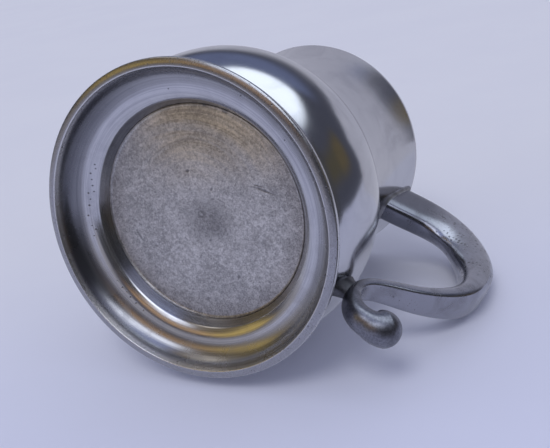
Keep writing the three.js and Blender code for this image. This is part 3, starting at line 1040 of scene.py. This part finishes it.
def solder(name):
    """Dull grey solder, darker low on the outside of the body from dirt and painted shade."""
    look = bpy.context.scene.mug_pewter
    material, g, place = new_material(name)
    where = g.group(place_group(), Vector=place)
    smear = g.group(smears_group(), Vector=place, Scale=300.0, Low=0.35, High=0.65)["Mask"]
    grain = g.noise(place, 1400.0, 3.0, 0.6)
    # Dirt with painted shade, low on the outside of the body
    grime_and_shade = g.times(g.ramp(where["Height"], *GRIME_SHADE_HEIGHT_FADE), g.ramp(where["Radius"], *GRIME_SHADE_RADIUS_FADE))
    base = g.blend(g.plus(g.times(smear, 0.35), 0.35), look.dull, look.dark)
    base = g.blend(g.times(grime_and_shade, 0.9), base, look.dark)
    rough = g.plus(look.solder_rough, g.times(smear, 0.15))
    metal(g, base, rough, grain, SOLDER_BUMPS)
    return material


# Stage


def camera_back():
    """The direction from the mug to the camera."""
    s = bpy.context.scene.mug_stage
    flat = math.cos(s.elevation)
    return Vector((flat * math.sin(s.azimuth), -flat * math.cos(s.azimuth), math.sin(s.elevation)))


def table_axes():
    """Unit vectors up from the table, towards the camera and to the camera's right, along the table."""
    s = bpy.context.scene.mug_stage
    flat = math.cos(s.table_elevation)
    x, y = flat * math.cos(s.table_azimuth), flat * math.sin(s.table_azimuth)
    up = -Vector((x, y, math.sin(s.table_elevation)))
    back = camera_back()
    front = (back - up * back.dot(up)).normalized()
    return up, front, up.cross(front)


def place_camera():
    """The camera that sees the mug as it lies."""
    scene = bpy.context.scene
    s = scene.mug_stage
    camera = bpy.data.cameras.new("photo_camera")
    camera.lens = s.lens
    camera.clip_start = 0.01
    holder = bpy.data.objects.new("photo_camera", camera)
    scene.collection.objects.link(holder)
    back = camera_back()
    upright = Vector((0, 0, 1))
    level_up = (upright - back * upright.dot(back)).normalized()
    level_right = level_up.cross(back)
    up = level_up * math.cos(s.roll) + level_right * math.sin(s.roll)
    right = up.cross(back)
    place = Vector((AXIS_X + s.aim_x, s.aim_y, s.aim_z)) + back * s.distance
    turned = Matrix((right, up, back)).transposed().to_4x4()
    holder.matrix_world = Matrix.Translation(place) @ turned
    scene.camera = holder


# Corners of the table, to the camera's right and towards the camera, from the foot of the mug
TABLE_CORNERS = (
    (0.10, 0.45),
    (0.03, 0.06),
    (0.20, 0.055),
    (0.26, -0.05),
    (0.60, -0.80),
    (0.60, -3.00),
    (-1.60, -3.00),
    (-1.60, 0.60),
)

# The table's paint: where its far colour gives way to its near one, its clouds and specks, and how bright
# the pale paint looks in the metal, with the share of it that does
TABLE_NEAR_FADE = (-0.16, 0.06)
TABLE_CLOUD = (0.6, 0.6, 0.7)
TABLE_SPECK = (0.3, 0.28, 0.26)
TABLE_GLOW = 0.8
TABLE_GLOW_SHARE = 0.35

# Pale boards that only the metal mirrors: places along the table as for its corners, and the height there
NEAR_BOARD = (
    (-0.06, -0.105, 0.098),
    (0.03, -0.088, 0.090),
    (0.07, -0.084, 0.0852),
    (0.09, -0.084, 0.0852),
    (0.107, -0.084, 0.0825),
    (0.135, -0.084, 0.0722),
    (0.152, -0.084, 0.0630),
    (0.175, -0.084, 0.050),
    (0.192, -0.084, 0.036),
    (0.202, -0.084, 0.012),
)
FAR_BOARD = (
    (0.30, -0.15, 0.095),
    (0.314, -0.234, 0.153),
    (0.3425, -0.3985, 0.207),
    (0.45, -0.70, 0.30),
)
BOARD_SHADE = (0.44, 0.45, 0.55)
BOARD_PALE = (0.55, 0.56, 0.66)


def table_point(up):
    """The point of the table that lies under the mug's axis, from the lowest point of the lying mug."""
    axis = Vector((AXIS_X, 0, 0))
    graph = bpy.context.evaluated_depsgraph_get()
    lowest = 0.0
    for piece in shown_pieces():
        mesh = piece.evaluated_get(graph).to_mesh()
        for vertex in mesh.vertices:
            lowest = min(lowest, (piece.matrix_world @ vertex.co - axis).dot(up))
    return axis + up * lowest


def painted_table(name):
    """Pale paint. Its back is clear, and in the metal it glows a little, as under a brighter room."""
    s = bpy.context.scene.mug_stage
    front = table_axes()[1]
    material, g, place = new_material(name)
    cloud = g.noise(place, 14.0, 4.0, 0.6)
    specks = g.group(pits_group(), Vector=place, Scale=45.0, Size=0.03, Share=0.1)["Mask"]
    tint = g.blend(g.ramp(g.dot(place, front), *TABLE_NEAR_FADE), s.table_far, s.table)
    tint = g.blend(g.ramp(cloud, 0.3, 0.7, 0.0, 0.1), tint, TABLE_CLOUD)
    tint = g.blend(g.times(specks, 0.4), tint, TABLE_SPECK)
    paint = g.add("ShaderNodeBsdfDiffuse", {"Color": tint}).outputs[0]
    glow = g.add("ShaderNodeEmission", {"Color": rgba(s.backdrop), "Strength": TABLE_GLOW}).outputs[0]
    path = g.add("ShaderNodeLightPath").outputs
    mirrored = g.times(path["Is Glossy Ray"], TABLE_GLOW_SHARE)
    face = g.add("ShaderNodeMixShader", {0: mirrored, 1: paint, 2: glow}).outputs[0]
    clear = g.add("ShaderNodeBsdfTransparent").outputs[0]
    behind = g.add("ShaderNodeNewGeometry").outputs["Backfacing"]
    shown = g.add("ShaderNodeMixShader", {0: behind, 1: face, 2: clear}).outputs[0]
    g.add("ShaderNodeOutputMaterial", {"Surface": shown})
    return material


def pale_board(name):
    """The plain glow of a pale board."""
    material, g, place = new_material(name)
    tint = g.blend(g.ramp(g.noise(place, 6.0), 0.3, 0.7), BOARD_SHADE, BOARD_PALE)
    glow = g.add("ShaderNodeEmission", {"Color": tint}).outputs[0]
    g.add("ShaderNodeOutputMaterial", {"Surface": glow})
    return material


def stage_piece(name, mesh, material):
    """A mesh of the stage, which is no piece of the mug."""
    mesh.materials.append(material)
    holder = bpy.data.objects.new(name, mesh)
    bpy.context.scene.collection.objects.link(holder)
    holder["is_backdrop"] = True
    return holder


def lay_table():
    """The painted table under the mug. Its back doesn't show, so the mug can be seen through it."""
    up, front, right = table_axes()
    origin = table_point(up)
    corners = [origin + right * a + front * b for a, b in TABLE_CORNERS]
    mesh = bpy.data.meshes.new("table")
    mesh.from_pydata(corners, [], [tuple(range(len(corners)))])
    if mesh.polygons[0].normal.dot(up) < 0:
        mesh.flip_normals()
    stage_piece("table", mesh, painted_table("painted_table"))
    stand_board("near_board", origin, NEAR_BOARD)
    stand_board("far_board", origin, FAR_BOARD)


def stand_board(name, origin, steps):
    """A pale board that stands on the table and shows only in the metal."""
    up, front, right = table_axes()
    feet = [origin + right * a + front * b for a, b, _ in steps]
    tops = [foot + up * step[2] for foot, step in zip(feet, steps)]
    count = len(feet)
    mesh = bpy.data.meshes.new(name)
    mesh.from_pydata(feet + tops, [], [(i, i + 1, count + i + 1, count + i) for i in range(count - 1)])
    board = stage_piece(name, mesh, pale_board(name))
    board.visible_camera = False
    board.visible_diffuse = False
    board.visible_shadow = False


# Patches of the room that the metal mirrors: middle and half width in degrees from the camera's side towards
# its right, lowest and highest degree over the table, softness of the edge in degrees, slant of the lower
# edge in degrees up for each degree round, and colour
ROOM_PATCHES = (
    (0, 180, 58, 95, 6, 0.0, (0.34, 0.37, 0.52)),
    (174, 28, -25, 17, 6, 0.0, (0.47, 0.48, 0.57)),
    (168, 40, 27, 62, 6, 0.0, (0.15, 0.18, 0.31)),
    (84, 22, 2, 20, 6, 0.0, (0.09, 0.08, 0.055)),
    (122, 58, 42, 92, 4, 0.4, (1.5, 1.65, 1.85)),
    (-65, 45, -6, 9, 5, 0.0, (0.40, 0.39, 0.43)),
    (-42, 26, 20, 38, 4, 0.0, (0.52, 0.34, 0.20)),
    (-92, 42, 44, 84, 6, 0.0, (0.24, 0.19, 0.13)),
    (-104, 12, 20, 42, 4, 0.0, (0.22, 0.17, 0.07)),
    (-78, 16, 14, 31, 4, 0.0, (0.62, 0.46, 0.16)),
    (-80, 20, 33, 41, 4, 0.0, (0.22, 0.17, 0.08)),
    (-112, 34, 50, 70, 4, 0.0, (0.78, 0.72, 0.64)),
    (-7, 47, 55, 95, 4, 0.0, (0.46, 0.53, 0.84)),
    (50, 14, 36, 62, 4, 0.0, (0.40, 0.42, 0.58)),
    (-7, 45, 41, 62, 3, 0.0, (1.9, 2.0, 2.25)),
    (25, 40, -60, 34, 8, 0.0, (0.07, 0.07, 0.075)),
    (98, 9, 2, 18, 5, 0.0, (0.13, 0.105, 0.06)),
)
ROOM_DARK = (0.07, 0.075, 0.105)


def light_room():
    """The dark room with its windows, which the camera sees as a pale surrounding."""
    s = bpy.context.scene.mug_stage
    up, front, right = table_axes()
    world = bpy.data.worlds.new("room")
    bpy.context.scene.world = world
    world.use_nodes = True
    world.node_tree.nodes.clear()
    g = Graph(world.node_tree)
    way = g.add("ShaderNodeTexCoord").outputs["Generated"]
    elevation = g.math("DEGREES", g.math("ARCSINE", g.dot(way, up)))
    azimuth = g.math("DEGREES", g.math("ARCTAN2", g.dot(way, right), g.dot(way, front)))
    light = ROOM_DARK
    for *place, tint in ROOM_PATCHES:
        named = dict(zip(PATCH_INPUTS, (azimuth, elevation, *place)))
        light = g.blend(g.group(patch_group(), **named)["Mask"], light, tint)
    room = g.add("ShaderNodeBackground", {"Color": light}).outputs[0]
    plain = g.add("ShaderNodeBackground", {"Color": rgba(s.ambient)}).outputs[0]
    pale = g.add("ShaderNodeBackground", {"Color": rgba(s.backdrop)}).outputs[0]
    path = g.add("ShaderNodeLightPath").outputs
    around = g.add("ShaderNodeMixShader", {0: path["Is Glossy Ray"], 1: plain, 2: room}).outputs[0]
    mixed = g.add("ShaderNodeMixShader", {0: path["Is Camera Ray"], 1: around, 2: pale}).outputs[0]
    g.add("ShaderNodeOutputWorld", {"Surface": mixed})


def hang_sun():
    """The soft sun that lights the table and shows in no metal."""
    s = bpy.context.scene.mug_stage
    up, front, right = table_axes()
    lamp = bpy.data.lights.new("soft_sun", "SUN")
    lamp.energy = s.sun_strength
    lamp.angle = s.sun_size
    sun = bpy.data.objects.new("soft_sun", lamp)
    bpy.context.scene.collection.objects.link(sun)
    level = front * math.cos(s.sun_azimuth) + right * math.sin(s.sun_azimuth)
    source = level * math.cos(s.sun_elevation) + up * math.sin(s.sun_elevation)
    sun.rotation_euler = source.to_track_quat("Z", "Y").to_euler()
    sun.visible_glossy = False


# Operators


class MUG_OT_neck(bpy.types.Operator):
    """Builds the neck with its lip"""

    bl_idname = "mug.neck"
    bl_label = "Neck"

    def execute(self, context):
        wall = context.scene.mug_body.wall
        side = neck_side()
        lip = side[-1]
        rim = arc((lip[0] - wall / 2, lip[1]), wall / 2, 0, 180)
        outline = np.vstack([side, rim[1:-1], shifted(side, -wall)[::-1]])
        turned_piece("neck", outline, kept(polished_pewter), "polished_pewter", "neck_section")
        return {"FINISHED"}


class MUG_OT_bowl(bpy.types.Operator):
    """Builds the bowl of the belly"""

    bl_idname = "mug.bowl"
    bl_label = "Bowl"

    def execute(self, context):
        side = bowl_side()
        outline = np.vstack([side, shifted(side, -context.scene.mug_body.wall)[::-1]])
        turned_piece("bowl", outline, kept(polished_pewter), "polished_pewter", "belly_bowl")
        return {"FINISHED"}


class MUG_OT_foot(bpy.types.Operator):
    """Builds the spread foot with its hollow"""

    bl_idname = "mug.foot"
    bl_label = "Foot"

    def execute(self, context):
        foot = context.scene.mug_foot
        ring_outer = FOOT_RADIUS - foot.edge_round
        ring_inner = ring_outer - foot.ring_width
        soft = foot.ring_round
        band_top = (FOOT_RADIUS - foot.band_taper, foot.band_height)
        neck = (FOOT_NECK_RADIUS, FOOT_SEAM_LOW.z)
        seat = (SPIGOT_RADIUS - foot.seat_width, BASE_SEAM_LOW.z)
        ring_start = (ring_inner + CROWN_START * soft, 0.0)
        crown = (ring_outer, foot.ring_crown)
        shelf_height = foot.hollow_height + foot.shelf_rise
        chamfer_height = shelf_height + foot.chamfer_rise
        corner_top = (seat[0] + foot.step_width, chamfer_height + foot.corner_rise)
        chamfer_top = (corner_top[0] + foot.corner_width, chamfer_height)
        chamfer_foot = (chamfer_top[0] + foot.chamfer_width, shelf_height)
        shelf_edge = (chamfer_foot[0] + foot.shelf_width, foot.hollow_height)
        outline = np.vstack([
            span(ring_start, RING_START, crown, CROWN_SLOPE, steps=10),
            span(crown, CROWN_SLOPE, (FOOT_RADIUS, foot.edge_rise), UP, steps=8)[1:],
            span(band_top, BAND_TOP_LEAVE, neck, FOOT_NECK_ARRIVE),
            [(SPIGOT_RADIUS, neck[1]), (SPIGOT_RADIUS, seat[1])],
            [seat],
            span(corner_top, CORNER_LEAVE, chamfer_top, CHAMFER_LEAVE, steps=10),
            span(chamfer_top, CHAMFER_LEAVE, chamfer_foot, CHAMFER_ARRIVE)[1:],
            span(shelf_edge, HOLLOW_LEAVE, (ring_inner, soft), HOLLOW_ARRIVE, 0.4),
            arc((ring_inner + soft, soft), soft, 190, 270)[1:],
        ])
        turned_piece("foot", outline, kept(foot_pewter), "foot_pewter", "foot_ring")
        return {"FINISHED"}


class MUG_OT_base(bpy.types.Operator):
    """Builds the disc that closes the bottom"""

    bl_idname = "mug.base"
    bl_label = "Base disc"

    def execute(self, context):
        foot = context.scene.mug_foot
        edge = SPIGOT_RADIUS - foot.seat_width
        low = [(r, DISC_LOW.z - foot.face_drop) for r in np.linspace(0, edge, DISC_RINGS)]
        rim = [(edge, DISC_LOW.z), (DISC_RADIUS, DISC_LOW.z)]
        high = [(r, DISC_HIGH.z) for r in np.linspace(DISC_RADIUS, 0, DISC_RINGS)]
        turned_piece("base", low + rim + high, kept(base_pewter), "base_pewter", "base_disc")
        return {"FINISHED"}


class MUG_OT_handle(bpy.types.Operator):
    """Builds the scroll handle"""

    bl_idname = "mug.handle"
    bl_label = "Handle"

    def execute(self, context):
        vertices, faces = handle_mesh()
        mesh_piece("scroll_handle", vertices, faces, kept(handle_pewter), "handle_pewter", "handle")
        return {"FINISHED"}


class MUG_OT_solder(bpy.types.Operator):
    """Builds the five seams of solder"""

    bl_idname = "mug.solder"
    bl_label = "Solder"

    def execute(self, context):
        wall = context.scene.mug_body.wall
        seat = SPIGOT_RADIUS - context.scene.mug_foot.seat_width
        belly = block(BELLY_RADIUS - wall, BELLY_RADIUS, BELLY_SEAM_LOW.z, BELLY_SEAM_HIGH.z)
        foot = block(SPIGOT_RADIUS, FOOT_NECK_RADIUS, FOOT_SEAM_LOW.z, FOOT_SEAM_HIGH.z)
        base = block(seat, SPIGOT_RADIUS, BASE_SEAM_LOW.z, BASE_SEAM_HIGH.z)
        reach = context.scene.mug_foot.seat_fillet
        face = BASE_SEAM_HIGH.z - context.scene.mug_foot.face_drop
        on_face = (seat - reach, face)
        on_step = (seat + reach / 2, face - reach)
        base[3:3] = span(on_face, LEVEL, on_step, FILLET_ARRIVE, 0.5, 10)
        turned_piece("belly_seam", belly, kept(polished_pewter), "solder", "belly_seam_solder")
        turned_piece("foot_seam", foot, kept(solder), "solder", "foot_seam_solder")
        turned_piece("base_seam", base, kept(base_pewter), "solder", "base_seam_solder")
        mesh_piece("root_fillet", *root_fillet_mesh(), kept(solder), "solder", "handle_root_solder")
        mesh_piece("heel_lug", *lug_mesh(), kept(solder), "solder", "handle_heel_solder")
        return {"FINISHED"}


class MUG_OT_stage(bpy.types.Operator):
    """Sets the camera, the table and the light"""

    bl_idname = "mug.stage"
    bl_label = "Stage"

    def execute(self, context):
        place_camera()
        lay_table()
        light_room()
        hang_sun()
        context.scene.view_settings.view_transform = "Standard"
        return {"FINISHED"}


STEPS = ("neck", "bowl", "foot", "base", "handle", "solder", "stage")
PROPS = {
    "mug_body": MugBodyProps,
    "mug_foot": MugFootProps,
    "mug_handle": MugHandleProps,
    "mug_pewter": PewterProps,
    "mug_stage": MugStageProps,
}


class MUG_PT_panel(bpy.types.Panel):
    """Lists the mug's pieces and sizes"""

    bl_label = "Pewter Mug"
    bl_space_type = "VIEW_3D"
    bl_region_type = "UI"
    bl_category = "Pewter Mug"

    def draw(self, context):
        for step in STEPS:
            self.layout.operator("mug." + step)
        for name in PROPS:
            sizes = getattr(context.scene, name)
            box = self.layout.box()
            for size in sizes.bl_rna.properties.keys():
                if size not in ("rna_type", "name"):
                    box.prop(sizes, size)


CLASSES = (
    *PROPS.values(),
    MUG_OT_neck,
    MUG_OT_bowl,
    MUG_OT_foot,
    MUG_OT_base,
    MUG_OT_handle,
    MUG_OT_solder,
    MUG_OT_stage,
    MUG_PT_panel,
)


def register():
    for cls in CLASSES:
        bpy.utils.register_class(cls)
    for name, cls in PROPS.items():
        setattr(bpy.types.Scene, name, PointerProperty(type=cls))


def unregister():
    for name in PROPS:
        delattr(bpy.types.Scene, name)
    for cls in reversed(CLASSES):
        bpy.utils.unregister_class(cls)


def main():
    register()
    for step in STEPS:
        getattr(bpy.ops.mug, step)()


if __name__ == "__main__":
    main()
